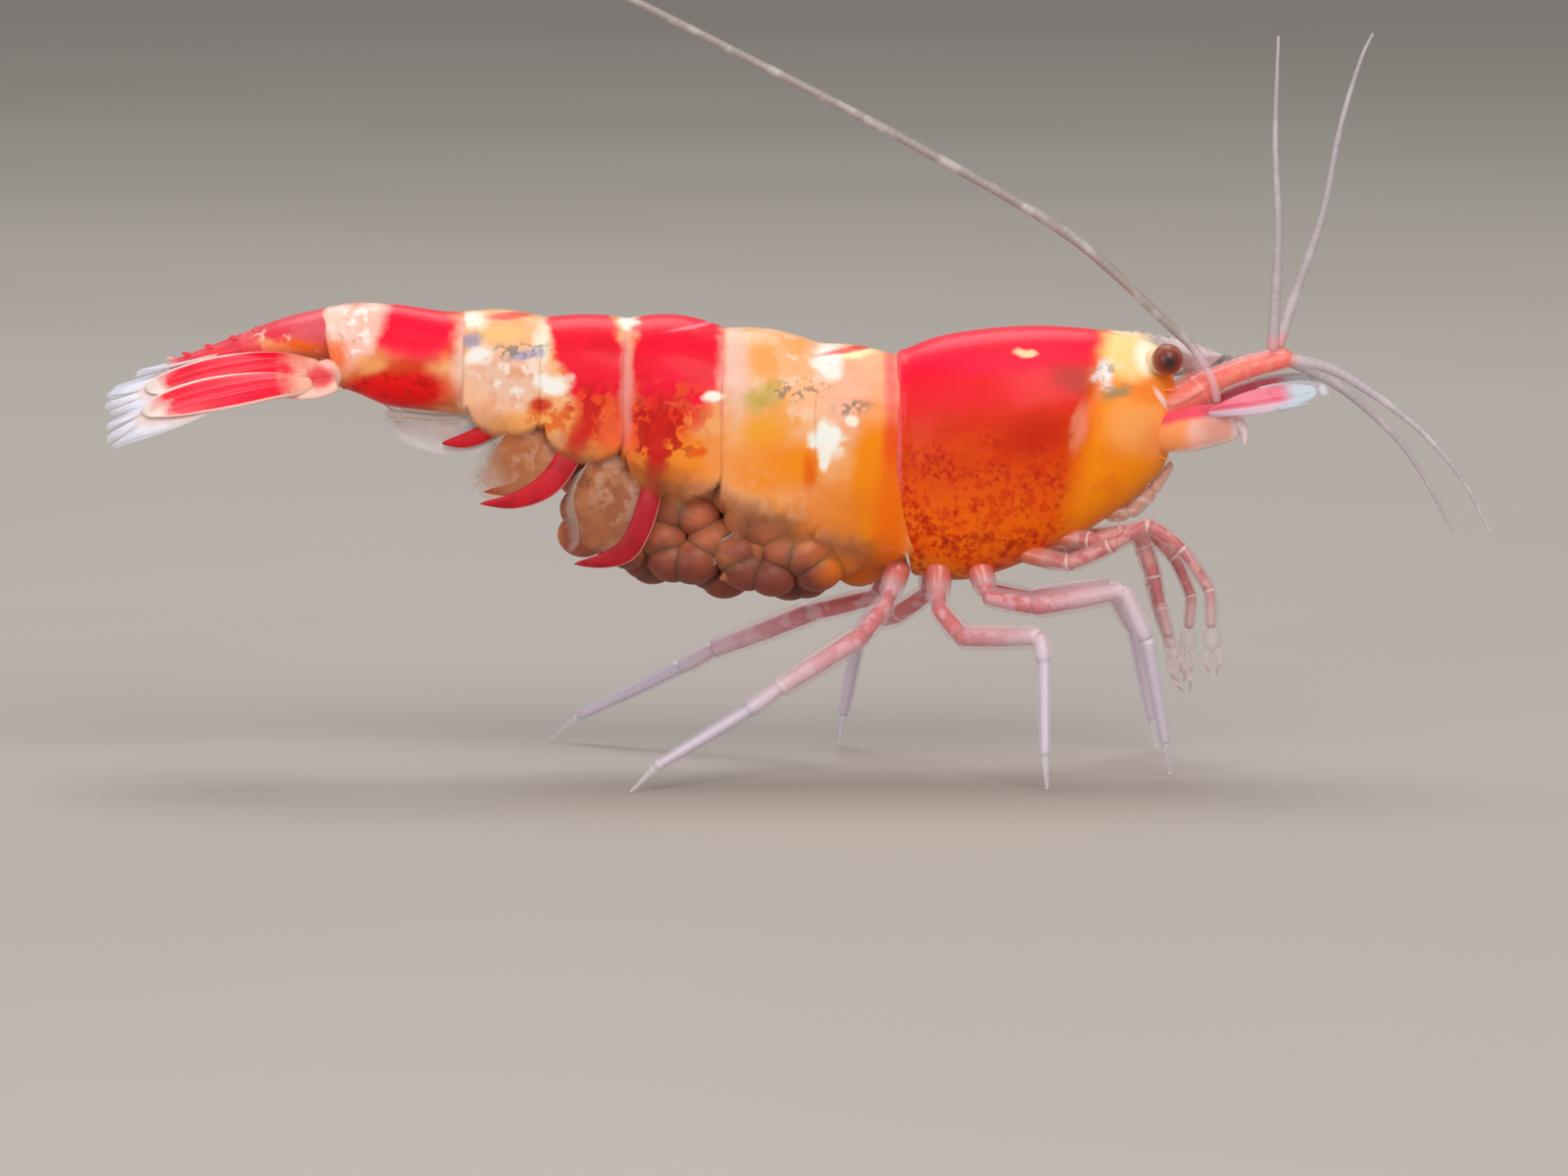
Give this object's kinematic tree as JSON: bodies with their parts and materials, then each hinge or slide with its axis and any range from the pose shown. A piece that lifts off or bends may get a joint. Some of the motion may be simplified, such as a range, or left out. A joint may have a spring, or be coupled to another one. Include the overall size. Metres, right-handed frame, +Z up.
{
  "type": "dwarf freshwater shrimp, berried female (Caridina, red and white bee form), life-size still model",
  "caption": "Life-size still model of a berried red and white dwarf shrimp standing on its walking legs, with eggs, swimmerets, tail fan and long feelers",
  "frame": {"origin": "On the floor under the middle of the animal's box, feelers included", "axes": "+X runs from the tail to the head, +Y to the animal's left, +Z up"},
  "size_m": [0.0312, 0.0102, 0.0204],
  "materials": {
    "head_shell": "glossy translucent shell, crimson above, orange with dark red specks below, cream behind the eye",
    "red_shell": "glossy crimson shell ring, mottled orange low on the side",
    "cream_shell": "glossy cream and orange shell ring with white and grey patches",
    "tail_fin": "thin red fin blades with pale rims and clear fringed tips",
    "eye": "dark red-brown glossy compound eye",
    "feeler_base": "translucent pink-red feeler stems with pale joints",
    "feeler": "fine ringed grey-white feelers",
    "leg": "translucent pink-white legs with red patches and clear tips",
    "swimmeret": "clear blades with a crimson front stripe and pale edge",
    "egg": "glossy brown translucent eggs"
  },
  "bodies": {
    "root": {"carapace": "head_shell", "eyestalk_right": "head_shell", "eyestalk_left": "head_shell", "abdomen_3": "red_shell", "abdomen_4": "red_shell", "abdomen_6": "red_shell", "abdomen_1": "cream_shell", "abdomen_2": "cream_shell", "abdomen_5": "cream_shell", "telson": "tail_fin", "uropod_stem_right": "tail_fin", "uropod_stem_left": "tail_fin", "uropod_inner_right": "tail_fin", "uropod_inner_left": "tail_fin", "uropod_outer_right": "tail_fin", "uropod_outer_left": "tail_fin", "eye_right": "eye", "eye_left": "eye", "antennule_right": "feeler_base", "antennule_left": "feeler_base", "antenna_base_right": "feeler_base", "antenna_base_left": "feeler_base", "antenna_scale_right": "feeler_base", "antenna_scale_left": "feeler_base", "antennule_outer_right": "feeler", "antennule_outer_left": "feeler", "antennule_inner_right": "feeler", "antennule_inner_left": "feeler", "antenna_right": "feeler", "antenna_left": "feeler", "leg_1_right": "leg", "leg_1_left": "leg", "leg_2_right": "leg", "leg_2_left": "leg", "leg_3_right": "leg", "leg_3_left": "leg", "leg_4_right": "leg", "leg_4_left": "leg", "leg_5_right": "leg", "leg_5_left": "leg", "maxilliped_right": "leg", "maxilliped_left": "leg", "swimmeret_1_right": "swimmeret", "swimmeret_1_left": "swimmeret", "swimmeret_2_right": "swimmeret", "swimmeret_2_left": "swimmeret", "swimmeret_3_right": "swimmeret", "swimmeret_3_left": "swimmeret", "swimmeret_4_right": "swimmeret", "swimmeret_4_left": "swimmeret", "swimmeret_5_right": "swimmeret", "swimmeret_5_left": "swimmeret", "egg_clutch": "egg"}
  },
  "joints": []
}
